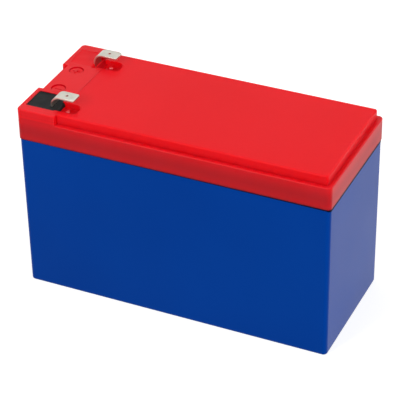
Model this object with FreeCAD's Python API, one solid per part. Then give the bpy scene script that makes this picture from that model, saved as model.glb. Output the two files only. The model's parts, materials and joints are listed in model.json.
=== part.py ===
import FreeCAD, Part
import os

# A sealed lead-acid block of six cells for an uninterruptible power supply, in millimetres.
# X runs along the length with the terminals at -X, Y runs across, Z is up.
# The origin is the middle of the underside.

# Outside
length = 151.0
width = 65.0
seam_height = 78.5
lid_height = 15.5
terminal_above_deck = 5.0
corner_radius = 2.0

# Container
lid_overhang = 0.3
container_wall = 2.2
container_floor = 2.4
container_taper = 0.2
base_edge_radius = 1.0
partition = 1.5
cell_columns = 3
cell_corner_radius = 0.8
tongue_height = 3.0
tongue_thickness = 1.0
reveal = 0.6
gate_mark_radius = 1.5
gate_mark_depth = 0.3

# Lid
ledge_below_deck = 4.7
ledge_width = 2.2
lid_plate = 2.2
rim_thickness = 4.4
glue_gap = 0.05
roof_thickness = 0.8
collar_depth = 2.9
collar_wall = 1.2
collar_gap = 0.1
deck_lip = 1.4
deck_edge_radius = 0.6
ledge_edge_radius = 0.5
deck_core_wall = 2.2

# The notch in the left end and the round marks by the terminals
notch_from_well = 2.0
notch_depth = 3.0
notch_height = 3.0
mark_radius = 3.45
mark_depth = 0.5
mark_from_end = 8.9
mark_from_well = 5.1

# Terminal wells, and the narrower recesses that carry on from them past a low dam
terminal_from_side = 11.5
well_side_wall = 4.9
well_width = 13.7
well_end_wall = 2.2
well_length = 14.6
well_base = 3.6
well_corner_radius = 0.8
dam_thickness = 1.0
dam_below_deck = 2.2
recess_below_deck = 2.9
recess_past_deck = 7.9
recess_near_side = 6.0
recess_far_side = 1.9
recess_near_radius = 1.5
recess_far_radius = 3.5
platform_wall = 1.3
pip_radius = 1.2
pip_height = 0.8
pip_from_tip = 4.6
pip_from_terminal = 0.5

# Posts, rings, tabs and resin
post_radius = 3.0
post_hole_gap = 0.15
post_above_floor = 3.2
ring_width = 1.8
ring_chamfer = 0.4
ring_seat_gap = 0.1
tab_width = 6.35
tab_thickness = 0.8
pad_above_floor = 1.4
tab_pad_radius = 4.5
tab_rise_from_post = 5.5
tab_foot_bend = 0.5
tab_top_bend = 3.7
tab_reach = 11.0
tab_tip_chamfer = 0.6
tab_hole_radius = 0.7
tab_hole_from_tip = 4.9
negative_resin_below_deck = 0.6
positive_resin_below_deck = 0.15
heap_past_rise = 0.7
resin_edge_radius = 0.6

# Vents and cover
vent_radius = 2.3
vent_wall = 1.7
vent_gap = 0.9
cap_wall = 1.4
cap_top = 1.2
cap_chamfer = 0.7
cap_gap_below = 0.6
cover_gap = 0.1
cover_plate = 2.0
cover_wall = 1.8
cover_corner_radius = 1.2
cover_edge_radius = 0.8
cover_shelf = 1.2
hold_down_radius = 2.0
hold_down_length = 1.6
hold_down_gap = 0.2
cover_rib = 1.2
cover_rib_height = 1.6
gas_slot_width = 3.0
gas_slot_height = 0.5

# Plates, mats and lead work
positive_plates = 4
positive_thickness = 2.9
negative_thickness = 1.8
stack_clearance = 0.125
plate_end_gap = 1.8
plate_headroom = 9.05
mat_margin = 1.0
mat_above_plate = 1.5
lug_width = 8.0
lug_thickness = 1.2
lug_from_cell_end = 6.0
lug_height = 3.0
strap_thickness = 4.0
strap_lap = 0.5
flag_thickness = 2.5
flag_width = 9.0
flag_height = 7.0
weld_radius = 3.2

# How far a cutting shape runs past the face that it opens, and a joined one into its neighbour
run_past = 1.0
tolerance = 1e-4

# Worked out from the sizes above: places along X and Y
half_length = length / 2
half_width = width / 2
container_half_length = half_length - lid_overhang
container_half_width = half_width - lid_overhang
inner_half_length = container_half_length - container_wall
inner_half_width = container_half_width - container_wall
cell_length = (2 * inner_half_length - (cell_columns - 1) * partition) / cell_columns
cell_width = inner_half_width - partition / 2
cell_pitch = cell_length + partition
well_outer = half_width - well_side_wall
well_inner = well_outer - well_width
well_start = -half_length + well_end_wall
well_end = well_start + well_length
dam_end = well_end + dam_thickness
deck_end = dam_end + deck_lip
recess_end = deck_end + recess_past_deck
platform_end = recess_end + platform_wall
platform_outer = half_width - ledge_width - cover_wall - cover_gap
terminal_from_middle = half_width - terminal_from_side
post_x = -inner_half_length + lug_from_cell_end
tab_rise_x = post_x + tab_rise_from_post
tab_tip_x = tab_rise_x + tab_reach
vent_outer_radius = vent_radius + vent_wall
first_vent_x = platform_end + vent_gap + cap_wall + vent_outer_radius

# Worked out: heights
height = seam_height + lid_height
terminal_top = height + terminal_above_deck
tongue_top = seam_height + tongue_height
roof_bottom = tongue_top + 2 * glue_gap
lid_underside = roof_bottom + roof_thickness
lid_plate_top = lid_underside + lid_plate
ledge_height = height - ledge_below_deck
cover_underside = height - cover_plate
recess_floor = height - recess_below_deck
dam_top = height - dam_below_deck
well_floor = lid_underside + well_base
post_top = well_floor + post_above_floor
pad_bottom = well_floor + pad_above_floor
cap_outside_top = cover_underside - hold_down_length - hold_down_gap
vent_top = cap_outside_top - cap_top

# Worked out: plates
negative_plates = positive_plates + 1
lead_thickness = positive_plates * positive_thickness + negative_plates * negative_thickness
mat_thickness = (cell_width - 2 * stack_clearance - lead_thickness) / (2 * positive_plates)
plate_bottom = container_floor + mat_thickness
plate_top = seam_height - plate_headroom
strap_bottom = plate_top + lug_height - strap_lap
strap_top = strap_bottom + strap_thickness
flag_top = strap_bottom + flag_height
weld_height = strap_bottom + flag_height / 2


def box(x0, x1, y0, y1, z0, z1):
    return Part.makeBox(x1 - x0, y1 - y0, z1 - z0, FreeCAD.Vector(x0, y0, z0))


def cylinder(radius, x, y, z0, z1):
    return Part.makeCylinder(radius, z1 - z0, FreeCAD.Vector(x, y, z0))


def is_upright(edge):
    ends = [vertex.Point for vertex in edge.Vertexes]
    if len(ends) != 2:
        return False
    return abs(ends[0].x - ends[1].x) < tolerance and abs(ends[0].y - ends[1].y) < tolerance


def rounded_box(x0, x1, y0, y1, z0, z1, radius):
    plain = box(x0, x1, y0, y1, z0, z1)
    return plain.makeFillet(radius, [edge for edge in plain.Edges if is_upright(edge)])


def rounded_outline(half_x, half_y, z, radius):
    """A rounded rectangle about the Z axis, as one closed wire."""
    block = rounded_box(-half_x, half_x, -half_y, half_y, z, z + 1, radius)
    bottom = min(block.Faces, key=lambda side: side.CenterOfMass.z)
    return bottom.OuterWire


def edges_at(shape, z, test):
    """Edges that lie level at height z and whose middle passes the test."""
    found = []
    for edge in shape.Edges:
        bounds = edge.BoundBox
        if abs(bounds.ZMin - z) < tolerance and abs(bounds.ZMax - z) < tolerance:
            if test(edge.CenterOfMass):
                found.append(edge)
    return found


def mirrored(shape):
    """The same shape on the other side of the battery's middle plane."""
    return shape.mirror(FreeCAD.Vector(0, 0, 0), FreeCAD.Vector(0, 1, 0))


def both_sides(shape):
    return [shape, mirrored(shape)]


def joined(shapes):
    return shapes[0].multiFuse(shapes[1:]).removeSplitter()


def column_start(column):
    """Low X of a cell in this column, counted from the terminal end."""
    return -inner_half_length + column * cell_pitch


def cell_corner(column, row):
    """Low X and low Y of a cell's space; row 0 is the front row."""
    low_y = -inner_half_width if row == 0 else partition / 2
    return column_start(column), low_y


def cells():
    return [(column, row) for row in (0, 1) for column in range(cell_columns)]


def inset_cell(x, y, inset, z0, z1, radius):
    """A rounded box that lies inside a cell's walls by the inset."""
    return rounded_box(x + inset, x + cell_length - inset, y + inset, y + cell_width - inset, z0, z1, radius)


def weld_places():
    """Middle and direction of each weld plug, in the order of the current's path."""
    places = []
    middle_y = (inner_half_width + partition / 2) / 2
    across = FreeCAD.Vector(1, 0, 0)
    for column in range(1, cell_columns):
        start = FreeCAD.Vector(column_start(column) - partition, -middle_y, weld_height)
        places.append((start, across))
    turn_x = inner_half_length - lug_from_cell_end
    places.append((FreeCAD.Vector(turn_x, -partition / 2, weld_height), FreeCAD.Vector(0, 1, 0)))
    for column in range(cell_columns - 1, 0, -1):
        start = FreeCAD.Vector(column_start(column) - partition, middle_y, weld_height)
        places.append((start, across))
    return places


def weld_plug(place):
    start, direction = place
    return Part.makeCylinder(weld_radius, partition, start, direction)


def vent_places():
    """Vent post centres, one over each cell, the first column as near the recesses as its cap allows."""
    return [(first_vent_x + column * cell_pitch, cell_corner(column, row)[1] + cell_width / 2)
            for column, row in cells()]


def container():
    low = rounded_outline(container_half_length - container_taper, container_half_width - container_taper,
                          0, corner_radius)
    high = rounded_outline(container_half_length, container_half_width, seam_height - reveal, corner_radius)
    brim = rounded_outline(container_half_length - reveal, container_half_width - reveal, seam_height,
                           corner_radius - reveal)
    outer = Part.makeLoft([low, high], True, True)
    outer = outer.makeFillet(base_edge_radius, edges_at(outer, 0, lambda middle: True))
    outer = outer.fuse(Part.makeLoft([high, brim], True, True))
    tongue_x = inner_half_length + tongue_thickness
    tongue_y = inner_half_width + tongue_thickness
    tongue = rounded_box(-tongue_x, tongue_x, -tongue_y, tongue_y, seam_height - run_past, tongue_top,
                         tongue_thickness)
    cuts = []
    for column, row in cells():
        x, y = cell_corner(column, row)
        cuts.append(inset_cell(x, y, 0, container_floor, tongue_top + run_past, cell_corner_radius))
        cuts.append(cylinder(gate_mark_radius, x + cell_length / 2, y + cell_width / 2, -run_past,
                             gate_mark_depth))
    cuts += [weld_plug(place) for place in weld_places()]
    return outer.fuse(tongue).cut(cuts).removeSplitter()


def lid_blank():
    """The lid's outside: rim and ledge, with the raised terminal deck at its left end."""
    blank = rounded_box(-half_length, half_length, -half_width, half_width, seam_height, height,
                        corner_radius)
    blank = blank.cut(box(deck_end, length, -width, width, ledge_height, height + run_past))
    deck_edges = edges_at(blank, height, lambda middle: middle.x < deck_end - tolerance)
    blank = blank.makeFillet(deck_edge_radius, deck_edges)
    ledge_edges = edges_at(blank, ledge_height, lambda middle: middle.x > deck_end + tolerance)
    return blank.makeFillet(ledge_edge_radius, ledge_edges)


def lid_underside_cavity():
    """The hollow that faces the cells, and the rebate round it for the container's tongue."""
    tongue_x = inner_half_length + tongue_thickness + glue_gap
    tongue_y = inner_half_width + tongue_thickness + glue_gap
    rebate = rounded_box(-tongue_x, tongue_x, -tongue_y, tongue_y, seam_height - run_past, roof_bottom,
                         tongue_thickness)
    cavity = rounded_box(-inner_half_length, inner_half_length, -inner_half_width, inner_half_width,
                         seam_height - run_past, lid_underside, cell_corner_radius)
    return rebate.fuse(cavity)


def roof_half_width():
    """Half the width of the strip that roofs a partition, out to the far side of the collars."""
    return partition / 2 + collar_gap + collar_wall


def lid_collars():
    """A collar under the lid for the mouth of each cell, with the partitions' tops roofed between them."""
    low = lid_underside - collar_depth
    half = roof_half_width()
    pieces = [box(-inner_half_length, inner_half_length, -half, half, roof_bottom, lid_underside)]
    for column in range(1, cell_columns):
        middle = column_start(column) - partition / 2
        pieces.append(box(middle - half, middle + half, -inner_half_width, inner_half_width,
                          roof_bottom, lid_underside))
    for column, row in cells():
        x, y = cell_corner(column, row)
        outside = inset_cell(x, y, collar_gap, low, lid_underside, cell_corner_radius - collar_gap)
        inside = inset_cell(x, y, collar_gap + collar_wall, low - run_past, roof_bottom,
                            cell_corner_radius)
        pieces.append(outside.cut(inside))
    return joined(pieces)


def recess_room(middle, start, bottom):
    """Room that runs from the start to the rounded end of the recess by the terminal at this Y."""
    low, high = middle - recess_near_side, middle + recess_far_side
    room = box(start, recess_end, low, high, bottom, height + run_past)

    def corner(y):
        return [edge for edge in room.Edges if is_upright(edge)
                and edge.CenterOfMass.x > recess_end - tolerance and abs(edge.CenterOfMass.y - y) < tolerance]

    room = room.makeFillet(recess_near_radius, corner(low))
    return room.makeFillet(recess_far_radius, corner(high))


def recess_cuts():
    """At each terminal: the recess, and the room over the dam that joins it to the well."""
    cuts = []
    for middle in (-terminal_from_middle, terminal_from_middle):
        cuts.append(recess_room(middle, well_end - 2 * well_corner_radius, dam_top))
        cuts.append(recess_room(middle, dam_end, recess_floor))
    return cuts


def terminal_well_cuts():
    """Front side: resin well, post hole and ring seat."""
    middle = -terminal_from_middle
    seat_radius = post_radius + ring_width + ring_seat_gap
    return [
        rounded_box(well_start, well_end, -well_outer, -well_inner, well_floor, height + run_past,
                    well_corner_radius),
        cylinder(post_radius + post_hole_gap, post_x, middle, seam_height, well_floor + run_past),
        cylinder(seat_radius, post_x, middle, well_floor - ring_width, well_floor + run_past),
    ]


def deck_cores():
    """Front side: hollows moulded up into the deck and platform from below, so that walls stay even."""
    left = -half_length + notch_depth + deck_core_wall
    top = height - mark_depth - deck_core_wall
    low = lid_underside - run_past
    deck_core = box(left, deck_end - deck_core_wall, -well_inner + deck_core_wall, -roof_half_width(),
                    low, top)
    platform_core = box(deck_end, platform_end - deck_core_wall, -well_outer, -well_inner, low,
                        recess_floor - deck_core_wall)
    return [deck_core, platform_core]


def deck_marks():
    """The notch in the left end and the two round sunk marks."""
    half_notch = well_inner - notch_from_well
    notch = box(-length, -half_length + notch_depth, -half_notch, half_notch, height - notch_height,
                height + run_past)
    mark = cylinder(mark_radius, -half_length + mark_from_end, -well_inner + mark_from_well,
                    height - mark_depth, height + run_past)
    return [notch] + both_sides(mark)


def platform():
    """Front side: the block beyond the deck that the recess is sunk into and the cover rests on."""
    return box(deck_end - run_past, platform_end, -platform_outer, -well_inner + platform_wall,
               lid_underside, cover_underside)


def support_pip():
    """Front side: the low dome on the recess's floor, under the tab."""
    x, y = tab_tip_x - pip_from_tip, -terminal_from_middle - pip_from_terminal
    ball_radius = (pip_radius ** 2 + pip_height ** 2) / (2 * pip_height)
    ball = Part.makeSphere(ball_radius, FreeCAD.Vector(x, y, recess_floor + pip_height - ball_radius))
    return ball.common(cylinder(pip_radius, x, y, recess_floor - pip_height, recess_floor + pip_height))


def lid():
    tray_half = half_width - rim_thickness
    tray = rounded_box(deck_end, half_length - rim_thickness, -tray_half, tray_half, lid_plate_top,
                       height + run_past, corner_radius)
    tray_start = box(deck_end, deck_end + corner_radius, -tray_half, tray_half, lid_plate_top,
                     height + run_past)
    shell = lid_blank().cut([tray, tray_start, lid_underside_cavity()])
    shelf = box(deck_end - run_past, deck_end + cover_shelf, -well_inner, well_inner,
                cover_underside - cover_shelf, cover_underside)
    vents = [cylinder(vent_outer_radius, x, y, lid_underside, vent_top) for x, y in vent_places()]
    shell = joined([shell, shelf] + both_sides(platform()) + vents + [lid_collars()])
    cuts = deck_marks() + recess_cuts()
    for cut in deck_cores() + terminal_well_cuts():
        cuts += both_sides(cut)
    cuts += [cylinder(vent_radius, x, y, seam_height, height) for x, y in vent_places()]
    return joined([shell.cut(cuts)] + both_sides(support_pip()))


def vent_cover():
    x0, x1 = deck_end + cover_gap, half_length - ledge_width
    half_y = half_width - ledge_width
    inner_y = half_y - cover_wall
    blank = box(x0, x1, -half_y, half_y, ledge_height, height)
    end_corners = [edge for edge in blank.Edges if is_upright(edge) and edge.CenterOfMass.x > x1 - tolerance]
    blank = blank.makeFillet(cover_corner_radius, end_corners)
    blank = blank.makeFillet(cover_edge_radius, edges_at(blank, height, lambda middle: middle.x > x0 + tolerance))
    hollow = rounded_box(x0 - 2 * cover_corner_radius, x1 - cover_wall, -inner_y, inner_y,
                         ledge_height - run_past, cover_underside, cover_corner_radius)
    rooms = [recess_room(middle, deck_end, ledge_height - run_past)
             for middle in (-terminal_from_middle, terminal_from_middle)]
    cover = blank.cut([hollow] + rooms)
    extras = [cylinder(hold_down_radius, x, y, cover_underside - hold_down_length, cover_underside)
              for x, y in vent_places()]
    slots = []
    for column in range(1, cell_columns):
        rib_x = first_vent_x + (column - 0.5) * cell_pitch
        extras.append(box(rib_x - cover_rib / 2, rib_x + cover_rib / 2, -inner_y, inner_y,
                          cover_underside - cover_rib_height, cover_underside))
        slot_x = column_start(column) - partition / 2
        slots.append(box(slot_x - gas_slot_width / 2, slot_x + gas_slot_width / 2, inner_y - run_past,
                         half_y + run_past, ledge_height, ledge_height + gas_slot_height))
    return joined([cover] + extras).cut(slots)


def vent_cap(place):
    x, y = place
    bottom = lid_plate_top + cap_gap_below
    cup = cylinder(vent_outer_radius + cap_wall, x, y, bottom, cap_outside_top)
    cup = cup.makeChamfer(cap_chamfer, edges_at(cup, cap_outside_top, lambda middle: True))
    return cup.cut(cylinder(vent_outer_radius, x, y, bottom - run_past, vent_top))


def tab_profile():
    """Side view of a tab in the XZ plane: pad, rise and blade, joined by two bends."""
    point = FreeCAD.Vector
    quarter = 0.5 ** 0.5

    def bend(centre_x, centre_z, radius, side_x, side_z):
        return point(centre_x + side_x * quarter * radius, 0, centre_z + side_z * quarter * radius)

    rise0, rise1 = tab_rise_x - tab_thickness, tab_rise_x
    pad0, pad1 = pad_bottom, pad_bottom + tab_thickness
    blade0, blade1 = terminal_top - tab_thickness, terminal_top
    foot_x, foot_z = rise0 - tab_foot_bend, pad1 + tab_foot_bend
    foot_out = tab_foot_bend + tab_thickness
    top_x, top_z = rise1 + tab_top_bend, blade0 - tab_top_bend
    top_out = tab_top_bend + tab_thickness
    line = Part.LineSegment
    return [
        line(point(post_x, 0, pad0), point(foot_x, 0, pad0)),
        Part.Arc(point(foot_x, 0, pad0), bend(foot_x, foot_z, foot_out, 1, -1), point(rise1, 0, foot_z)),
        line(point(rise1, 0, foot_z), point(rise1, 0, top_z)),
        Part.Arc(point(rise1, 0, top_z), bend(top_x, top_z, tab_top_bend, -1, 1), point(top_x, 0, blade0)),
        line(point(top_x, 0, blade0), point(tab_tip_x, 0, blade0)),
        line(point(tab_tip_x, 0, blade0), point(tab_tip_x, 0, blade1)),
        line(point(tab_tip_x, 0, blade1), point(top_x, 0, blade1)),
        Part.Arc(point(top_x, 0, blade1), bend(top_x, top_z, top_out, -1, 1), point(rise0, 0, top_z)),
        line(point(rise0, 0, top_z), point(rise0, 0, foot_z)),
        Part.Arc(point(rise0, 0, foot_z), bend(foot_x, foot_z, tab_foot_bend, 1, -1),
                 point(foot_x, 0, pad1)),
        line(point(foot_x, 0, pad1), point(post_x, 0, pad1)),
        line(point(post_x, 0, pad1), point(post_x, 0, pad0)),
    ]


def front_tab():
    """A strip folded into pad, rise and blade; the pad is round about the lead post."""
    middle = -terminal_from_middle
    wire = Part.Wire([curve.toShape() for curve in tab_profile()])
    strip = Part.Face(wire).extrude(FreeCAD.Vector(0, tab_width, 0))
    strip.translate(FreeCAD.Vector(0, middle - tab_width / 2, 0))
    tip_edges = [edge for edge in strip.Edges
                 if abs(edge.BoundBox.XMin - tab_tip_x) < tolerance and is_upright(edge)]
    strip = strip.makeChamfer(tab_tip_chamfer, tip_edges)
    pad_top = pad_bottom + tab_thickness
    beyond_pad = box(tab_rise_x - tab_thickness - tab_foot_bend, tab_tip_x, -width, width, pad_bottom,
                     pad_top)
    pad = cylinder(tab_pad_radius, post_x, middle, pad_bottom, pad_top).cut(beyond_pad)
    hole = cylinder(tab_hole_radius, tab_tip_x - tab_hole_from_tip, middle, height,
                    terminal_top + run_past)
    post_hole = cylinder(post_radius, post_x, middle, well_floor, post_top)
    return joined([strip, pad]).cut([hole, post_hole])


def front_seal_ring():
    """A rubber ring pressed into its seat, with its four corners bevelled."""
    low, high = well_floor - ring_width, well_floor
    ring = cylinder(post_radius + ring_width, post_x, -terminal_from_middle, low, high)
    ring = ring.cut(cylinder(post_radius, post_x, -terminal_from_middle, low, high))
    corners = edges_at(ring, low, lambda middle: True) + edges_at(ring, high, lambda middle: True)
    return ring.makeChamfer(ring_chamfer, corners)


def front_post(low):
    return cylinder(post_radius, post_x, -terminal_from_middle, low, post_top)


def well_fill(top):
    """The front well filled to a level, before anything stands in it."""
    return rounded_box(well_start, well_end, -well_outer, -well_inner, well_floor, top,
                       well_corner_radius)


def heap(start, end, low_y, high_y, top):
    """Resin above the dam's level, between two walls, that rounds off at its end."""
    block = box(start, end, low_y, high_y, dam_top, top)
    return block.makeFillet(resin_edge_radius, edges_at(block, top, lambda middle: middle.x > end - tolerance))


def potted(shapes):
    """Resin with the room taken by the tab and the lead post."""
    return joined(shapes).cut([front_tab(), front_post(well_floor - run_past)])


def level_resin():
    """Resin that nearly fills its well and laps over the dam."""
    top = height - negative_resin_below_deck
    low_y, high_y = -terminal_from_middle - recess_near_side, -terminal_from_middle + recess_far_side
    return potted([well_fill(top), heap(well_end - 2 * well_corner_radius, dam_end, low_y, high_y, top)])


def heaped_resin():
    """Resin that is level with the deck as far as the tab's rise, and with the dam before it."""
    top = height - positive_resin_below_deck
    heap_end = tab_rise_x + heap_past_rise
    behind = box(-length, heap_end - resin_edge_radius, -width, width, 0, terminal_top)
    return potted([well_fill(dam_top), well_fill(top).common(behind),
                   heap(post_x, heap_end, -well_outer, -well_inner, top)])


def plate_x(column, polarity):
    """Middle of the lugs: at the low-X or the high-X end of a cell."""
    start = column_start(column)
    return start + lug_from_cell_end if polarity < 0 else start + cell_length - lug_from_cell_end


def plate_layers(low_y):
    """Low Y of each negative plate, and of each positive plate with its mat."""
    pitch = negative_thickness + positive_thickness + 2 * mat_thickness
    first = low_y + stack_clearance
    negatives = [first + index * pitch for index in range(negative_plates)]
    positives = [first + negative_thickness + index * pitch for index in range(positive_plates)]
    return negatives, positives


def plate(column, low_y, thickness, lug_x):
    start = column_start(column)
    slab = box(start + plate_end_gap, start + cell_length - plate_end_gap, low_y, low_y + thickness,
               plate_bottom, plate_top)
    middle = low_y + thickness / 2
    lug = box(lug_x - lug_width / 2, lug_x + lug_width / 2, middle - lug_thickness / 2,
              middle + lug_thickness / 2, plate_top - run_past, strap_bottom + run_past)
    return slab.fuse(lug)


def strap(cell, lug_x, faces):
    """Lead strap over the lugs, with a flag against each partition that it is welded through."""
    x, y = cell_corner(*cell)
    margin = stack_clearance + negative_thickness / 2 - lug_thickness / 2
    half = lug_width / 2
    pieces = [box(lug_x - half - strap_lap, lug_x + half + strap_lap, y + margin,
                  y + cell_width - margin, strap_bottom, strap_top)]
    middle_y = y + cell_width / 2
    half_flag = flag_width / 2
    if faces == "low_x":
        pieces.append(box(x, lug_x, middle_y - half_flag, middle_y + half_flag, strap_bottom, strap_top))
        pieces.append(box(x, x + flag_thickness, middle_y - half_flag, middle_y + half_flag,
                          strap_bottom, flag_top))
    elif faces == "high_x":
        end = x + cell_length
        pieces.append(box(lug_x, end, middle_y - half_flag, middle_y + half_flag, strap_bottom, strap_top))
        pieces.append(box(end - flag_thickness, end, middle_y - half_flag, middle_y + half_flag,
                          strap_bottom, flag_top))
    elif faces == "middle":
        inner = y + cell_width - flag_thickness if y < 0 else y
        pieces.append(box(lug_x - half_flag, lug_x + half_flag, inner, inner + flag_thickness,
                          strap_bottom, flag_top))
    return pieces


def plate_group(cell, polarity, faces):
    """All plates of one sign in a cell, cast to their strap; polarity is -1 or 1."""
    column, row = cell
    end = polarity if row == 0 else -polarity
    lug_x = plate_x(column, end)
    negatives, positives = plate_layers(cell_corner(column, row)[1])
    if polarity < 0:
        plates = [plate(column, low, negative_thickness, lug_x) for low in negatives]
    else:
        plates = [plate(column, low + mat_thickness, positive_thickness, lug_x) for low in positives]
    pieces = plates + strap(cell, lug_x, faces)
    if faces == "post":
        post = front_post(strap_bottom)
        pieces.append(post if row == 0 else mirrored(post))
    return joined(pieces)


def separators(cell):
    """Glass mats of a cell, each folded under its positive plate and up both sides."""
    column, row = cell
    x, y = cell_corner(column, row)
    margin = plate_end_gap - mat_margin
    mats = []
    for low in plate_layers(y)[1]:
        outer = box(x + margin, x + cell_length - margin, low, low + positive_thickness + 2 * mat_thickness,
                    container_floor, plate_top + mat_above_plate)
        inside = box(x, x + cell_length, low + mat_thickness, low + mat_thickness + positive_thickness,
                     plate_bottom, plate_top + mat_above_plate)
        mats.append(outer.cut(inside))
    return Part.makeCompound(mats)


def current_path():
    """The cells in series from the negative terminal, with the face that each strap is joined at."""
    front = [(column, 0) for column in range(cell_columns)]
    back = [(column, 1) for column in range(cell_columns - 1, -1, -1)]
    order = front + back
    path = []
    for index, cell in enumerate(order):
        row = cell[1]
        entry = "low_x" if row == 0 else "high_x"
        leave = "high_x" if row == 0 else "low_x"
        if index == 0:
            entry = "post"
        if index == len(order) - 1:
            leave = "post"
        if cell == front[-1]:
            leave = "middle"
        if cell == back[0]:
            entry = "middle"
        path.append((cell, entry, leave))
    return path


def nodes():
    made = {
        "container": container(),
        "lid": lid(),
        "vent_cover": vent_cover(),
        "negative_tab": front_tab(),
        "positive_tab": mirrored(front_tab()),
        "negative_resin": level_resin(),
        "positive_resin": mirrored(heaped_resin()),
        "negative_seal_ring": front_seal_ring(),
        "positive_seal_ring": mirrored(front_seal_ring()),
    }
    for number, place in enumerate(vent_places(), 1):
        made["vent_cap_%d" % number] = vent_cap(place)
    for number, (cell, entry, leave) in enumerate(current_path(), 1):
        made["negative_group_%d" % number] = plate_group(cell, -1, entry)
        made["positive_group_%d" % number] = plate_group(cell, 1, leave)
        made["separators_%d" % number] = separators(cell)
    for number, place in enumerate(weld_places(), 1):
        made["cell_link_%d" % number] = weld_plug(place)
    return made


os.makedirs("parts", exist_ok=True)
for name, shape in nodes().items():
    shape.exportStep("parts/%s.step" % name)
    print("%-20s solids %d valid %s volume %.1f" % (name, len(shape.Solids), shape.isValid(), shape.Volume))
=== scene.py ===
import bmesh
import bpy
import json
import math
import numpy as np
from mathutils import Matrix, Vector


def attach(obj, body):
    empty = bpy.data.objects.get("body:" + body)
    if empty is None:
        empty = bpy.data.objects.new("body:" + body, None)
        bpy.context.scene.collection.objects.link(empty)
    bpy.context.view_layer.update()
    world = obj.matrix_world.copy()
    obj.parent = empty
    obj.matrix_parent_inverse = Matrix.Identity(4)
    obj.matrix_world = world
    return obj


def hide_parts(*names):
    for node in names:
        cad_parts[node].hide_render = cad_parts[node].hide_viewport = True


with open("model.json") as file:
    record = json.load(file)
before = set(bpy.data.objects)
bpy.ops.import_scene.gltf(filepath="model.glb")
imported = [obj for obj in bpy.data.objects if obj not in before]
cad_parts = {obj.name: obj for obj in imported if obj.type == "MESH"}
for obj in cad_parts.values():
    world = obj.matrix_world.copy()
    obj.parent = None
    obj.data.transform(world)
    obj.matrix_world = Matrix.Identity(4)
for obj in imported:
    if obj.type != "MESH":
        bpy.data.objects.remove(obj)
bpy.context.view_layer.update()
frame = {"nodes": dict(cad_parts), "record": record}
record = frame["record"]
nodes = frame["nodes"]
print("frame loaded:", len(nodes), "pieces")


# Finishes

def addNode(tree, kind, place, values=None, settings=None):
    # one shader node, with values for its sockets and settings for its own properties
    node = tree.nodes.new(kind)
    node.location = place
    for name, value in (settings or {}).items():
        setattr(node, name, value)
    for name, value in (values or {}).items():
        node.inputs[name].default_value = value
    return node


def startFinish(name, settings):
    # a new material whose plain numbers are set on the shader itself
    material = bpy.data.materials.new(name)
    material.use_nodes = True
    material.node_tree.nodes.clear()
    tree = material.node_tree
    shader = addNode(tree, "ShaderNodeBsdfPrincipled", (0, 0), settings)
    output = addNode(tree, "ShaderNodeOutputMaterial", (300, 0))
    tree.links.new(shader.outputs["BSDF"], output.inputs["Surface"])
    return material, tree, shader


def noiseField(tree, place, scale, detail=3.0, roughness=0.5, stretch=(1, 1, 1)):
    # noise on the piece's own coordinates, in metres, stretched along an axis where asked
    coords = addNode(tree, "ShaderNodeTexCoord", (place[0] - 400, place[1]))
    mapping = addNode(tree, "ShaderNodeMapping", (place[0] - 200, place[1]), {"Scale": stretch})
    noise = addNode(tree, "ShaderNodeTexNoise", place,
                    {"Scale": scale, "Detail": detail, "Roughness": roughness})
    tree.links.new(coords.outputs["Object"], mapping.inputs["Vector"])
    tree.links.new(mapping.outputs["Vector"], noise.inputs["Vector"])
    return noise


def ramped(tree, source, place, low, high, fromLow=0.3, fromHigh=0.7):
    # stretches a field between two values
    node = addNode(tree, "ShaderNodeMapRange", place,
                   {"From Min": fromLow, "From Max": fromHigh, "To Min": low, "To Max": high})
    tree.links.new(source, node.inputs["Value"])
    return node.outputs["Result"]


def tinted(tree, source, place, dark, light, fromLow=0.3, fromHigh=0.7):
    # a colour that wanders between two close tones
    node = addNode(tree, "ShaderNodeValToRGB", place)
    node.color_ramp.elements[0].position = fromLow
    node.color_ramp.elements[0].color = (*dark, 1)
    node.color_ramp.elements[1].position = fromHigh
    node.color_ramp.elements[1].color = (*light, 1)
    tree.links.new(source, node.inputs["Fac"])
    return node.outputs["Color"]


def bumped(tree, shader, fields, place):
    # stacks height fields, each a (output, depth in metres) pair, onto the shader's normal
    previous = None
    for step, (field, depth) in enumerate(fields):
        bump = addNode(tree, "ShaderNodeBump", (place[0] + 180 * step, place[1]),
                       {"Strength": 1.0, "Distance": depth})
        tree.links.new(field, bump.inputs["Height"])
        if previous is not None:
            tree.links.new(previous, bump.inputs["Normal"])
        previous = bump.outputs["Normal"]
    tree.links.new(previous, shader.inputs["Normal"])


def paintShadeByHeight(tree, colour, paintedShadeByHeight, place):
    # painted shade: multiplies a colour by darkening factors that follow the height, pairs of a height and
    # a tone, the lowest first
    low, high = paintedShadeByHeight[0][0], paintedShadeByHeight[-1][0]
    coords = addNode(tree, "ShaderNodeTexCoord", (place[0] - 600, place[1] - 200))
    split = addNode(tree, "ShaderNodeSeparateXYZ", (place[0] - 450, place[1] - 200))
    tree.links.new(coords.outputs["Object"], split.inputs[0])
    share = ramped(tree, split.outputs["Z"], (place[0] - 300, place[1] - 200), 0.0, 1.0, low, high)
    ramp = addNode(tree, "ShaderNodeValToRGB", (place[0] - 150, place[1] - 200))
    stops = ramp.color_ramp.elements
    while len(stops) < len(paintedShadeByHeight):
        stops.new(1.0)
    for stop, (height, tone) in zip(stops, paintedShadeByHeight):
        stop.position = (height - low) / (high - low)
        stop.color = (*tone, 1)
    tree.links.new(share, ramp.inputs["Fac"])
    mix = addNode(tree, "ShaderNodeMix", place, {"Factor": 1.0},
                  {"data_type": "RGBA", "blend_type": "MULTIPLY"})
    tree.links.new(colour, mix.inputs["A"])
    tree.links.new(ramp.outputs["Color"], mix.inputs["B"])
    return mix.outputs["Result"]


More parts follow.
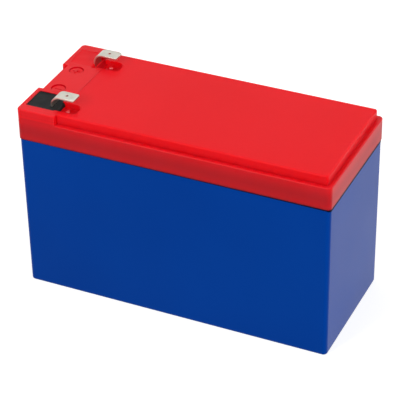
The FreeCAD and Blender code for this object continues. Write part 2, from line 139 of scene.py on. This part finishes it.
def mouldedPlastic(name, finish):
    # injection-moulded plastic: a little tone drift, a fine sparked texture and uneven gloss; a range of
    # roughness stays clear of 0.274, where the denoiser changes its ways and draws edges
    tint = finish.get("sheenTint", (1, 1, 1))
    material, tree, shader = startFinish(name, {"IOR": finish["ior"], "Specular Tint": (*tint, 1)})
    if "glowDepth" in finish:
        shader.inputs["Subsurface Weight"].default_value = finish["glowShare"]
        shader.inputs["Subsurface Radius"].default_value = finish["glowReach"]
        shader.inputs["Subsurface Scale"].default_value = finish["glowDepth"]
    drift = noiseField(tree, (-700, 300), finish["driftScale"], 2.0)
    colour = tinted(tree, drift.outputs["Fac"], (-450, 300), finish["dark"], finish["light"])
    # painted shade: where the finish asks for it, the colour is darkened by height
    if "paintedShadeByHeight" in finish:
        colour = paintShadeByHeight(tree, colour, finish["paintedShadeByHeight"], (-200, 300))
    tree.links.new(colour, shader.inputs["Base Color"])
    gloss = noiseField(tree, (-700, 0), finish["glossScale"], 1.0)
    rough = ramped(tree, gloss.outputs["Fac"], (-450, 0), finish["roughLow"], finish["roughHigh"])
    tree.links.new(rough, shader.inputs["Roughness"])
    grain = noiseField(tree, (-700, -300), finish["grainScale"], 2.0, 0.6)
    wave = noiseField(tree, (-700, -600), finish["waveScale"], 1.0)
    bumped(tree, shader, [(grain.outputs["Fac"], finish["grainDepth"]),
                          (wave.outputs["Fac"], finish["waveDepth"])], (-300, -300))
    return material


blueCase = {
    "dark": (0.0003, 0.047, 0.33), "light": (0.0004, 0.053, 0.36), "driftScale": 14.0,
    "ior": 1.17, "sheenTint": (0.0, 0.5, 1.0),
    "roughLow": 0.20, "roughHigh": 0.26, "glossScale": 40.0,
    "grainScale": 2600.0, "grainDepth": 0.000003, "waveScale": 25.0, "waveDepth": 0.00002,
}
redLid = {
    "dark": (0.87, 0.006, 0.012), "light": (0.91, 0.008, 0.016), "driftScale": 22.0,
    # painted shade by height: the rim darker towards the seam, the ledge and its edge darker than the deck,
    # and a narrow darker band at the recess floor's height
    "paintedShadeByHeight": [(0.0785, (0.46, 1, 1)), (0.0792, (0.62, 1, 1)), (0.0800, (0.70, 1, 1)),
              (0.0830, (0.63, 1, 1)), (0.0845, (0.66, 1, 1)), (0.0860, (0.73, 1, 1)),
              (0.0878, (0.84, 1, 1)), (0.0894, (0.85, 1, 1)), (0.0900, (1, 1, 1)),
              (0.0909, (1, 1, 1)), (0.0911, (0.90, 1, 1)), (0.0913, (1, 1, 1))],
    "ior": 1.21, "glowShare": 1.0, "glowReach": (1.0, 0.06, 0.08), "glowDepth": 0.0010,
    "roughLow": 0.28, "roughHigh": 0.33, "glossScale": 60.0,
    "grainScale": 2600.0, "grainDepth": 0.000004, "waveScale": 40.0, "waveDepth": 0.00002,
}
redCover = {
    "dark": (0.88, 0.006, 0.012), "light": (0.92, 0.008, 0.016), "driftScale": 16.0,
    # painted shade by height: the cover's wall darker towards its foot
    "paintedShadeByHeight": [(0.0893, (0.80, 1, 1)), (0.0903, (0.88, 1, 1)), (0.0914, (0.97, 1, 1)),
              (0.0922, (1, 1, 1))],
    "ior": 1.15, "glowShare": 1.0, "glowReach": (1.0, 0.06, 0.08), "glowDepth": 0.0010,
    "roughLow": 0.28, "roughHigh": 0.34, "glossScale": 50.0,
    "grainScale": 2200.0, "grainDepth": 0.000008, "waveScale": 30.0, "waveDepth": 0.00002,
}
redResin = {
    "dark": (0.86, 0.006, 0.012), "light": (0.90, 0.008, 0.016), "driftScale": 150.0,
    "ior": 1.18, "roughLow": 0.28, "roughHigh": 0.34, "glossScale": 200.0,
    "grainScale": 500.0, "grainDepth": 0.000006, "waveScale": 130.0, "waveDepth": 0.00003,
}
blackResin = {
    "dark": (0.010, 0.012, 0.013), "light": (0.020, 0.023, 0.023), "driftScale": 200.0,
    "ior": 1.15, "roughLow": 0.15, "roughHigh": 0.25, "glossScale": 220.0,
    "grainScale": 500.0, "grainDepth": 0.000006, "waveScale": 130.0, "waveDepth": 0.00003,
}
# a darker copy of the red: painted shade, for the resin apron under the positive tab and the round marks'
# rims
redPaintedShade = {
    "dark": (0.60, 0.001, 0.006), "light": (0.64, 0.002, 0.008), "driftScale": 150.0,
    "ior": 1.05, "roughLow": 0.3, "roughHigh": 0.4, "glossScale": 200.0,
    "grainScale": 500.0, "grainDepth": 0.000006, "waveScale": 130.0, "waveDepth": 0.00002,
}
# near-black of the seam's bead: partly a dark joint, partly painted shadow under the lid
darkJointAndShadow = {
    "dark": (0.002, 0.002, 0.012), "light": (0.004, 0.004, 0.018), "driftScale": 300.0,
    "ior": 1.10, "roughLow": 0.5, "roughHigh": 0.6, "glossScale": 300.0,
    "grainScale": 800.0, "grainDepth": 0.000006, "waveScale": 200.0, "waveDepth": 0.00002,
}
redPip = {
    "dark": (0.87, 0.006, 0.012), "light": (0.91, 0.008, 0.016), "driftScale": 150.0,
    "ior": 1.9, "roughLow": 0.12, "roughHigh": 0.16, "glossScale": 200.0,
    "grainScale": 500.0, "grainDepth": 0.000002, "waveScale": 130.0, "waveDepth": 0.00001,
}
valveRubber = {
    "dark": (0.012, 0.012, 0.012), "light": (0.025, 0.025, 0.025), "driftScale": 300.0,
    "ior": 1.4, "roughLow": 0.6, "roughHigh": 0.75, "glossScale": 300.0,
    "grainScale": 3000.0, "grainDepth": 0.00001, "waveScale": 200.0, "waveDepth": 0.00002,
}


def brushedTin(name, finish):
    # tin-plated strip: fine rolling marks along the strip, a few dull patches
    material, tree, shader = startFinish(name, {"Metallic": 1.0})
    patches = noiseField(tree, (-700, 300), finish["patchScale"], 3.0)
    colour = tinted(tree, patches.outputs["Fac"], (-450, 300), finish["dark"], finish["light"])
    tree.links.new(colour, shader.inputs["Base Color"])
    streaks = noiseField(tree, (-700, 0), finish["streakScale"], 3.0, 0.6, finish["streakStretch"])
    rough = ramped(tree, streaks.outputs["Fac"], (-450, 0), finish["roughLow"], finish["roughHigh"])
    tree.links.new(rough, shader.inputs["Roughness"])
    bumped(tree, shader, [(streaks.outputs["Fac"], finish["streakDepth"])], (-300, -300))
    return material


tinStrip = {
    "dark": (0.54, 0.52, 0.455), "light": (0.64, 0.62, 0.55), "patchScale": 250.0,
    "streakScale": 2500.0, "streakStretch": (0.12, 1, 1), "streakDepth": 0.000002,
    "roughLow": 0.28, "roughHigh": 0.33,
}
castLead = {
    "dark": (0.16, 0.165, 0.175), "light": (0.30, 0.305, 0.32), "patchScale": 120.0,
    "streakScale": 400.0, "streakStretch": (1, 1, 1), "streakDepth": 0.00005,
    "roughLow": 0.45, "roughHigh": 0.6,
}


def pastedPlate(name, finish):
    # dark oxide paste: coarse grains with a chalky surface
    material, tree, shader = startFinish(name, {"Specular IOR Level": 0.2, "Roughness": 0.85})
    grains = noiseField(tree, (-700, 200), finish["grainScale"], 5.0, 0.7)
    colour = tinted(tree, grains.outputs["Fac"], (-450, 200), finish["dark"], finish["light"])
    tree.links.new(colour, shader.inputs["Base Color"])
    bumped(tree, shader, [(grains.outputs["Fac"], finish["grainDepth"])], (-300, -200))
    return material


oxidePaste = {
    "dark": (0.035, 0.018, 0.012), "light": (0.075, 0.042, 0.028),
    "grainScale": 700.0, "grainDepth": 0.0001,
}


def glassMat(name, finish):
    # felted glass fibres, white and dull
    material, tree, shader = startFinish(name, {"Specular IOR Level": 0.2, "Roughness": 0.95,
                                                "Sheen Weight": 0.3})
    fibres = noiseField(tree, (-700, 200), finish["fibreScale"], 4.0, 0.7, finish["fibreStretch"])
    colour = tinted(tree, fibres.outputs["Fac"], (-450, 200), finish["dark"], finish["light"])
    tree.links.new(colour, shader.inputs["Base Color"])
    bumped(tree, shader, [(fibres.outputs["Fac"], finish["fibreDepth"])], (-300, -200))
    return material


whiteMat = {
    "dark": (0.66, 0.66, 0.63), "light": (0.86, 0.86, 0.83),
    "fibreScale": 900.0, "fibreStretch": (1, 1, 0.2), "fibreDepth": 0.00008,
}

finishes = {
    "container_blue": mouldedPlastic("containerBlue", blueCase),
    "lid_red": mouldedPlastic("lidRed", redLid),
    "cover_red": mouldedPlastic("coverRed", redCover),
    "resin_red": mouldedPlastic("resinRed", redResin),
    "pip_red": mouldedPlastic("pipRed", redPip),
    "red_painted_shade": mouldedPlastic("redPaintedShadeMat", redPaintedShade),
    "seam_joint_shadow": mouldedPlastic("seamJointShadow", darkJointAndShadow),
    "resin_black": mouldedPlastic("resinBlack", blackResin),
    "valve_rubber": mouldedPlastic("valveRubber", valveRubber),
    "terminal_tin": brushedTin("terminalTin", tinStrip),
    "lead": brushedTin("castLead", castLead),
    "positive_plate": pastedPlate("oxidePaste", oxidePaste),
    "glass_mat": glassMat("glassMat", whiteMat),
}


def dressNodes():
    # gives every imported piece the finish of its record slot
    slots = {row["node"]: row["material_slot"] for row in record["subparts"]}
    for name, piece in nodes.items():
        for index in range(len(piece.material_slots)):
            piece.material_slots[index].material = finishes[slots[name]]
    print("finishes given to", len(nodes), "pieces")


dressNodes()


# New pieces: rounded tabs, poured resin with a darker apron of painted shade, the seam's bead of dark joint
# and painted shadow, the pips' caps and what fills the round marks, with rims darkened as painted shade

mm = 0.001


def addPiece(name, mesh, slot, stands=None, finish=None):
    # puts a finished mesh into the scene on the battery's one body
    piece = bpy.data.objects.new(name, mesh)
    bpy.context.scene.collection.objects.link(piece)
    mesh.materials.append(finishes[finish or slot])
    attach(piece, "root")
    if stands:
        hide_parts(stands)
    return piece


tabEdges = {
    "round": 0.16 * mm, "steps": 3, "weld": 0.001 * mm,
    "flatAngle": 0.6, "sharpAngle": 40.0, "faceWeight": 100,
    "droopStart": -57.0 * mm, "droop": {"negative_tab": 2.0, "positive_tab": 6.0},
}


def buildTab(name):
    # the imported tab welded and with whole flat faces; past the bend it droops by k times distance squared
    mesh = nodes[name].data.copy()
    mesh.materials.clear()
    work = bmesh.new()
    work.from_mesh(mesh)
    bmesh.ops.remove_doubles(work, verts=work.verts, dist=tabEdges["weld"])
    bmesh.ops.dissolve_limit(work, angle_limit=math.radians(tabEdges["flatAngle"]),
                             verts=work.verts, edges=work.edges)
    work.to_mesh(mesh)
    work.free()
    points = np.empty(len(mesh.vertices) * 3)
    mesh.vertices.foreach_get("co", points)
    points = points.reshape(-1, 3)
    past = np.clip(points[:, 0] - tabEdges["droopStart"], 0, None)
    points[:, 2] -= tabEdges["droop"][name] * past ** 2
    mesh.vertices.foreach_set("co", points.ravel())
    mesh.shade_smooth()
    piece = addPiece(name + "_strip", mesh, "terminal_tin", name)
    bevel = piece.modifiers.new("roundedEdges", "BEVEL")
    bevel.width = tabEdges["round"]
    bevel.segments = tabEdges["steps"]
    bevel.limit_method = "ANGLE"
    bevel.angle_limit = math.radians(tabEdges["sharpAngle"])
    weighted = piece.modifiers.new("faceNormals", "WEIGHTED_NORMAL")
    weighted.weight = tabEdges["faceWeight"]


def closedSheet(name, x, y, top, bottom):
    # a solid between two height fields over one grid: the top, the bottom turned over, and a skirt
    rows, columns = x.shape
    upper = np.stack([x, y, top], axis=-1).reshape(-1, 3)
    lower = np.stack([x, y, bottom], axis=-1).reshape(-1, 3)
    count = rows * columns
    index = np.arange(count).reshape(rows, columns)
    a, b, c, d = index[:-1, :-1], index[1:, :-1], index[1:, 1:], index[:-1, 1:]
    topFaces = np.stack([a, b, c, d], axis=-1).reshape(-1, 4)
    bottomFaces = topFaces[:, ::-1] + count
    rim = np.concatenate([index[:-1, 0], index[-1, :-1], index[:0:-1, -1], index[0, :0:-1]])
    following = np.roll(rim, -1)
    skirt = np.stack([rim, rim + count, following + count, following], axis=-1)
    mesh = bpy.data.meshes.new(name)
    mesh.from_pydata(np.concatenate([upper, lower]).tolist(), [],
                     np.concatenate([topFaces, bottomFaces, skirt]).tolist())
    mesh.shade_smooth()
    return mesh


deckTop = 94.0 * mm
well = {
    "start": -73.3 * mm, "end": -58.7 * mm, "inner": 13.9 * mm, "outer": 27.6 * mm, "floor": 86.0 * mm,
    "damEnd": -57.7 * mm, "damTop": 91.8 * mm, "mouthInner": 19.1 * mm, "mouthOuter": 27.0 * mm,
    "step": 0.001 * mm,
}
tabFoot = {"x": -61.9 * mm, "halfX": 0.4 * mm, "y": 21.0 * mm, "halfY": 3.2 * mm}
blackPool = {
    "below": 0.62 * mm, "creep": 0.30 * mm, "creepReach": 0.5 * mm, "endRound": 1.0 * mm,
    "waves": 0.03 * mm, "columns": 90, "damColumns": 14, "rows": 80,
}
redPool = {
    "below": 0.16 * mm, "creep": 0.12 * mm, "creepReach": 0.6 * mm, "heapEnd": -61.7 * mm,
    "fall": 0.30 * mm, "nearCurve": 0.4 * mm, "nearReach": 1.0 * mm,
    "waves": 0.02 * mm, "columns": 100, "rows": 80,
}
redApronSheet = {
    "start": -61.0 * mm, "mouthInner": 15.0 * mm, "mouthOuter": 22.9 * mm,
    "above": 0.06 * mm, "depth": 0.05 * mm, "columns": 14, "damColumns": 8, "rows": 40,
}
ripples = {"first": (900, 300), "second": (-500, 1100), "lag": 1.0}


def wallCreep(x, y, pool):
    # how far resin climbs: a height that dies off with the distance to the nearest wall or to the tab
    past = x > well["end"]
    inner = np.where(past, well["mouthInner"], well["inner"])
    outer = np.where(past, well["mouthOuter"], well["outer"])
    toWall = np.minimum(x - well["start"], np.minimum(y - inner, outer - y))
    mouthOpen = (y > well["mouthInner"]) & (y < well["mouthOuter"])
    toWall = np.where(mouthOpen, toWall, np.minimum(toWall, np.abs(well["end"] - x)))
    toTab = np.hypot(np.clip(np.abs(x - tabFoot["x"]) - tabFoot["halfX"], 0, None),
                     np.clip(np.abs(y - tabFoot["y"]) - tabFoot["halfY"], 0, None))
    return pool["creep"] * (np.exp(-toWall / pool["creepReach"]) + np.exp(-toTab / pool["creepReach"]))


def ripple(x, y, depth):
    # slow unevenness of a poured surface, the sum of two crossed sine waves
    first = np.sin(x * ripples["first"][0] + y * ripples["first"][1])
    second = np.sin(x * ripples["second"][0] + y * ripples["second"][1] + ripples["lag"])
    return depth * (first + second) / 2


def buildBlackResin():
    # nearly fills the front well, climbs its walls, and laps over the dam with a quarter-ellipse edge
    pool = blackPool
    inWell = np.linspace(well["start"], well["end"], pool["columns"])
    onDam = np.linspace(well["end"] + well["step"], well["damEnd"], pool["damColumns"])
    columns = np.concatenate([inWell, onDam])
    across = np.linspace(well["inner"], well["outer"], pool["rows"])
    x, y = np.meshgrid(columns, across, indexing="ij")
    share = (y - well["inner"]) / (well["outer"] - well["inner"])
    mouth = well["mouthInner"] + share * (well["mouthOuter"] - well["mouthInner"])
    y = np.where(x > well["end"], mouth, y)
    top = deckTop - pool["below"] + wallCreep(x, y, pool) + ripple(x, y, pool["waves"])
    reach = np.clip((x - well["damEnd"] + pool["endRound"]) / pool["endRound"], 0, 1)
    drop = deckTop - pool["below"] - well["damTop"]
    top -= drop * (1 - np.sqrt(1 - reach ** 2))
    top = np.maximum(top, well["damTop"] + well["step"])
    bottom = np.where(x <= well["end"], well["floor"], well["damTop"])
    mesh = closedSheet("negativeResinPour", x, -y[:, ::-1], top[:, ::-1], bottom)
    addPiece("negative_resin_pour", mesh, "resin_black", "negative_resin")


def buildRedResin():
    # level with the deck up to just past the tab's rise, then down to the dam's level in a curved front
    pool = redPool
    columns = np.linspace(well["start"], well["end"], pool["columns"])
    across = np.linspace(well["inner"], well["outer"], pool["rows"])
    x, y = np.meshgrid(columns, across, indexing="ij")
    front = pool["heapEnd"] + pool["nearCurve"] * np.exp(-(y - well["inner"]) / pool["nearReach"])
    share = 0.5 - 0.5 * np.tanh((x - front) / pool["fall"])
    high = deckTop - pool["below"] + wallCreep(x, y, pool) + ripple(x, y, pool["waves"])
    top = well["damTop"] + (high - well["damTop"]) * share
    bottom = np.full_like(x, well["floor"])
    mesh = closedSheet("positiveResinPour", x, y, top, bottom)
    addPiece("positive_resin_pour", mesh, "resin_red", "positive_resin")


def buildApron():
    # the thin flow of red resin past the heap, level with the dam and lapping over it; its darker red is
    # painted shade under the tab
    sheet = redApronSheet
    inWell = np.linspace(sheet["start"], well["end"], sheet["columns"])
    onDam = np.linspace(well["end"] + well["step"], well["damEnd"], sheet["damColumns"])
    columns = np.concatenate([inWell, onDam])
    across = np.linspace(well["inner"], well["outer"], sheet["rows"])
    x, y = np.meshgrid(columns, across, indexing="ij")
    share = (y - well["inner"]) / (well["outer"] - well["inner"])
    mouth = sheet["mouthInner"] + share * (sheet["mouthOuter"] - sheet["mouthInner"])
    y = np.where(x > well["end"], mouth, y)
    top = well["damTop"] + sheet["above"] + ripple(x, y, sheet["depth"] / 2)
    mesh = closedSheet("positiveResinApron", x, y, top, top - sheet["depth"])
    addPiece("positive_resin_apron", mesh, "resin_red", finish="red_painted_shade")


seamJointShadow = {
    "halfX": 75.2 * mm, "halfY": 32.2 * mm, "corner": 1.7 * mm, "top": 78.48 * mm, "proud": 0.04 * mm,
    "inward": 0.7 * mm, "least": 0.25 * mm, "growth": 0.004, "endGrowth": 0.55 * mm, "turns": 10,
}


def buildSeamJointShadow():
    # a dark bead under the lid, partly a dark joint and partly painted shadow under the lid's overhang: a
    # rounded rectangle's ring whose height grows steadily along X, and more at the +X end
    bead = seamJointShadow
    quarter = np.linspace(0, 0.5, bead["turns"])
    angle = math.pi * (np.array([0.0, 0.5, 1.0, 1.5])[:, None] + quarter)
    out = np.stack([np.cos(angle), np.sin(angle)], axis=-1)
    sides = np.array([(1, 1), (-1, 1), (-1, -1), (1, -1)])[:, None, :]
    middle = sides * (np.array([bead["halfX"], bead["halfY"]]) - bead["corner"])
    middle = np.broadcast_to(middle, out.shape).reshape(-1, 2)
    out = out.reshape(-1, 2)
    height = bead["least"] + bead["growth"] * (middle[:, 0] + bead["halfX"])
    height += bead["endGrowth"] * np.clip(out[:, 0], 0, None)
    outer = middle + out * (bead["corner"] + bead["proud"])
    inner = middle + out * (bead["corner"] - bead["inward"])
    top = np.full(len(middle), bead["top"])
    rings = [np.column_stack([outer, top]), np.column_stack([outer, top - height]),
             np.column_stack([inner, top - height]), np.column_stack([inner, top])]
    grid = np.stack(rings, axis=1)
    index = np.arange(len(middle) * len(rings)).reshape(-1, len(rings))
    ahead = np.roll(index, -1, axis=0)
    below, belowAhead = np.roll(index, -1, axis=1), np.roll(ahead, -1, axis=1)
    faces = np.stack([index, below, belowAhead, ahead], axis=-1).reshape(-1, 4)
    mesh = bpy.data.meshes.new("seamJointShadow")
    mesh.from_pydata(grid.reshape(-1, 3).tolist(), [], faces.tolist())
    addPiece("seam_joint_shadow", mesh, "container_blue", finish="seam_joint_shadow")


pips = {
    "x": -55.1 * mm, "y": 21.5 * mm, "floor": 91.1 * mm, "height": 0.83 * mm,
    "reach": 1.24 * mm, "depth": 0.2 * mm, "steps": 24,
}


def buildPips():
    # the smooth caps of the pips under the blades: a ball's cap over a square grid pressed into a disc
    side = np.linspace(-1, 1, pips["steps"])
    u, v = np.meshgrid(side, side, indexing="ij")
    across = pips["reach"] * u * np.sqrt(1 - v ** 2 / 2)
    along = pips["reach"] * v * np.sqrt(1 - u ** 2 / 2)
    ball = (pips["reach"] ** 2 + pips["height"] ** 2) / (2 * pips["height"])
    top = pips["floor"] + pips["height"] - ball + np.sqrt(ball ** 2 - across ** 2 - along ** 2)
    for name, sign in (("negative_pip", -1), ("positive_pip", 1)):
        mesh = closedSheet(name, pips["x"] + across, sign * pips["y"] + along, top, top - pips["depth"])
        addPiece(name, mesh, "lid_red", finish="pip_red")


markPlace = {"x": -66.6 * mm, "y": 8.8 * mm}
signs = {
    "reach": 1.9 * mm, "halfWidth": 0.4 * mm, "low": 93.4 * mm, "high": 93.8 * mm,
    "squareness": 0.25, "around": 48, "upward": 16,
}


def signBar(halfX, halfY, y):
    # a superellipsoid: its outline and its section are squared circles, powers of sine and cosine
    turn, rise = np.meshgrid(np.linspace(-math.pi, math.pi, signs["around"], endpoint=False),
                             np.linspace(-math.pi / 2, math.pi / 2, signs["upward"]))

    def squared(wave):
        return np.sign(wave) * np.abs(wave) ** signs["squareness"]

    middle, half = (signs["high"] + signs["low"]) / 2, (signs["high"] - signs["low"]) / 2
    x = markPlace["x"] + halfX * squared(np.cos(rise)) * squared(np.cos(turn))
    across = y + halfY * squared(np.cos(rise)) * squared(np.sin(turn))
    up = middle + half * squared(np.sin(rise))
    return np.stack([x, across, up], axis=-1)


def buildSigns():
    # one bar for the minus and two crossed bars for the plus, each a closed tube of rings
    bars = {"minus_sign": [(signs["reach"], signs["halfWidth"], -markPlace["y"])],
            "plus_sign": [(signs["reach"], signs["halfWidth"], markPlace["y"]),
                          (signs["halfWidth"], signs["reach"], markPlace["y"])]}
    for name, shapes in bars.items():
        points, faces, start = [], [], 0
        for shape in shapes:
            grid = signBar(*shape)
            rings, around = grid.shape[:2]
            index = start + np.arange(rings * around).reshape(rings, around)
            following = np.roll(index, -1, axis=1)
            points.append(grid.reshape(-1, 3))
            bands = np.stack([index[:-1], following[:-1], following[1:], index[1:]], axis=-1)
            faces.append(bands.reshape(-1, 4))
            start += rings * around
        mesh = bpy.data.meshes.new(name)
        mesh.from_pydata(np.concatenate(points).tolist(), [], np.concatenate(faces).tolist())
        work = bmesh.new()
        work.from_mesh(mesh)
        bmesh.ops.remove_doubles(work, verts=work.verts, dist=tabEdges["weld"])
        work.to_mesh(mesh)
        work.free()
        mesh.shade_smooth()
        addPiece(name, mesh, "lid_red")


markRims = {
    "outer": 3.44 * mm, "inner": 2.95 * mm, "low": 93.505 * mm, "high": 93.99 * mm, "around": 72,
}


def buildMarkRims():
    # the sloped rim inside each round mark: a three-cornered section turned about the mark's middle, in a
    # darker red that is painted shade on the mark's inner wall
    reach = np.array([markRims["outer"], markRims["outer"], markRims["inner"]])
    height = np.array([markRims["high"], markRims["low"], markRims["low"]])
    turn = np.linspace(0, 2 * math.pi, markRims["around"], endpoint=False)[:, None]
    index = np.arange(3 * markRims["around"]).reshape(-1, 3)
    ahead = np.roll(index, -1, axis=0)
    faces = np.stack([index, np.roll(index, -1, axis=1), np.roll(ahead, -1, axis=1), ahead], axis=-1)
    for name, side in (("minus_rim", -1), ("plus_rim", 1)):
        x = markPlace["x"] + reach * np.cos(turn)
        y = side * markPlace["y"] + reach * np.sin(turn)
        points = np.stack([x, y, np.broadcast_to(height, x.shape)], axis=-1)
        mesh = bpy.data.meshes.new(name)
        mesh.from_pydata(points.reshape(-1, 3).tolist(), [], faces.reshape(-1, 4).tolist())
        addPiece(name, mesh, "lid_red", finish="red_painted_shade")


for tabName in ("negative_tab", "positive_tab"):
    buildTab(tabName)
buildBlackResin()
buildRedResin()
buildApron()
buildPips()
buildSeamJointShadow()
buildSigns()
buildMarkRims()
print("tabs, resin, seam and signs made")


# Floor, light and camera

studio = {
    "floorHalf": 6.0, "floorColour": 0.50, "floorLift": 0.73,
    "worldLevel": 0.28, "skyColour": (1.0, 1.0, 1.0),
}


def buildFloor():
    # a wide pale floor; what the camera and mirrors see of it is lifted to white, but for the shadow
    half = studio["floorHalf"]
    corners = np.array([[-half, -half, 0], [half, -half, 0], [half, half, 0], [-half, half, 0]])
    mesh = bpy.data.meshes.new("floor")
    mesh.from_pydata(corners.tolist(), [], [(0, 1, 2, 3)])
    floor = bpy.data.objects.new("floor", mesh)
    bpy.context.scene.collection.objects.link(floor)
    material = bpy.data.materials.new("floorPale")
    material.use_nodes = True
    tree = material.node_tree
    tree.nodes.clear()
    level = studio["floorColour"]
    matte = addNode(tree, "ShaderNodeBsdfDiffuse", (-200, 100), {"Color": (level, level, level, 1)})
    lift = addNode(tree, "ShaderNodeEmission", (-200, -100), {"Color": (1, 1, 1, 1)})
    path = addNode(tree, "ShaderNodeLightPath", (-800, -200))
    seen = addNode(tree, "ShaderNodeMath", (-600, -200), settings={"operation": "MAXIMUM"})
    seenToo = addNode(tree, "ShaderNodeMath", (-500, -300), settings={"operation": "MAXIMUM"})
    strength = addNode(tree, "ShaderNodeMath", (-400, -200), settings={"operation": "MULTIPLY"})
    strength.inputs[1].default_value = studio["floorLift"]
    both = addNode(tree, "ShaderNodeAddShader", (0, 0))
    output = addNode(tree, "ShaderNodeOutputMaterial", (200, 0))
    tree.links.new(path.outputs["Is Camera Ray"], seen.inputs[0])
    tree.links.new(path.outputs["Is Glossy Ray"], seen.inputs[1])
    tree.links.new(seen.outputs[0], seenToo.inputs[0])
    tree.links.new(path.outputs["Is Transmission Ray"], seenToo.inputs[1])
    tree.links.new(seenToo.outputs[0], strength.inputs[0])
    tree.links.new(strength.outputs[0], lift.inputs["Strength"])
    tree.links.new(matte.outputs[0], both.inputs[0])
    tree.links.new(lift.outputs[0], both.inputs[1])
    tree.links.new(both.outputs[0], output.inputs["Surface"])
    mesh.materials.append(material)


def buildWorld():
    # soft studio surround: white to the camera, dimmer as a light
    world = bpy.data.worlds.new("studio")
    bpy.context.scene.world = world
    world.use_nodes = True
    tree = world.node_tree
    tree.nodes.clear()
    level = studio["worldLevel"]
    path = addNode(tree, "ShaderNodeLightPath", (-600, 200))
    seen = addNode(tree, "ShaderNodeMath", (-500, 200), settings={"operation": "MAXIMUM"})
    seenToo = addNode(tree, "ShaderNodeMath", (-350, 200), settings={"operation": "MAXIMUM"})
    strength = addNode(tree, "ShaderNodeMapRange", (-200, 200),
                       {"From Min": 0.0, "From Max": 1.0, "To Min": level, "To Max": 1.0})
    surround = addNode(tree, "ShaderNodeBackground", (0, 0), {"Color": (*studio["skyColour"], 1)})
    output = addNode(tree, "ShaderNodeOutputWorld", (200, 0))
    tree.links.new(path.outputs["Is Camera Ray"], seen.inputs[0])
    tree.links.new(path.outputs["Is Glossy Ray"], seen.inputs[1])
    tree.links.new(seen.outputs[0], seenToo.inputs[0])
    tree.links.new(path.outputs["Is Transmission Ray"], seenToo.inputs[1])
    tree.links.new(seenToo.outputs[0], strength.inputs["Value"])
    tree.links.new(strength.outputs["Result"], surround.inputs["Strength"])
    tree.links.new(surround.outputs[0], output.inputs["Surface"])


lamps = {
    "overhead": {"place": (-0.25, 0.15, 1.25), "aim": (0, 0, 0.06), "size": (1.2, 1.0), "watts": 4.1},
    "rightFill": {"place": (1.1, -0.35, 0.55), "aim": (0, 0, 0.05), "size": (0.8, 0.6), "watts": 7.4},
    "frontKey": {"place": (-0.35, -0.90, 0.66), "aim": (0, 0, 0.05), "size": (0.25, 0.25), "watts": 4.7},
    "backKey": {"place": (0.33, 0.98, 0.80), "aim": (0, 0, 0.05), "size": (0.25, 0.25), "watts": 1.3},
}


def buildLamps():
    for name, lamp in lamps.items():
        data = bpy.data.lights.new(name, "AREA")
        data.shape = "RECTANGLE"
        data.size, data.size_y = lamp["size"]
        data.energy = lamp["watts"]
        light = bpy.data.objects.new(name, data)
        light.location = lamp["place"]
        aim = Vector(lamp["aim"]) - Vector(lamp["place"])
        light.rotation_euler = aim.to_track_quat("-Z", "Y").to_euler()
        bpy.context.scene.collection.objects.link(light)


viewpoint = {
    "target": (0, 0, 0.047), "azimuth": 25.17, "elevation": 33.5, "roll": -1.12, "distance": 0.84803,
    "slideRight": 0.00055, "slideUp": 0.00186, "focalPixels": 1843.27, "framePixels": 400,
    "sensor": 36.0, "near": 0.05, "far": 50.0,
}


def buildCamera():
    # stands back from the target along azimuth and elevation, rolled, and slid to place the object
    azimuth, elevation, roll = (math.radians(viewpoint[key]) for key in ("azimuth", "elevation", "roll"))
    back = Vector((math.sin(azimuth) * math.cos(elevation), -math.cos(azimuth) * math.cos(elevation),
                   math.sin(elevation)))
    right = Vector((math.cos(azimuth), math.sin(azimuth), 0))
    up = back.cross(right)
    right, up = (math.cos(roll) * right + math.sin(roll) * up,
                 math.cos(roll) * up - math.sin(roll) * right)
    data = bpy.data.cameras.new("camera")
    data.sensor_width = viewpoint["sensor"]
    data.lens = viewpoint["focalPixels"] / viewpoint["framePixels"] * viewpoint["sensor"]
    data.clip_start = viewpoint["near"]
    data.clip_end = viewpoint["far"]
    camera = bpy.data.objects.new("camera", data)
    turn = Matrix((right, up, back)).transposed()
    place = (Vector(viewpoint["target"]) + back * viewpoint["distance"] - right * viewpoint["slideRight"]
             - up * viewpoint["slideUp"])
    camera.matrix_world = Matrix.Translation(place) @ turn.to_4x4()
    bpy.context.scene.collection.objects.link(camera)
    bpy.context.scene.camera = camera


buildFloor()
buildWorld()
buildLamps()
buildCamera()
bpy.context.scene.view_settings.view_transform = "Standard"
print("floor, light and camera placed")
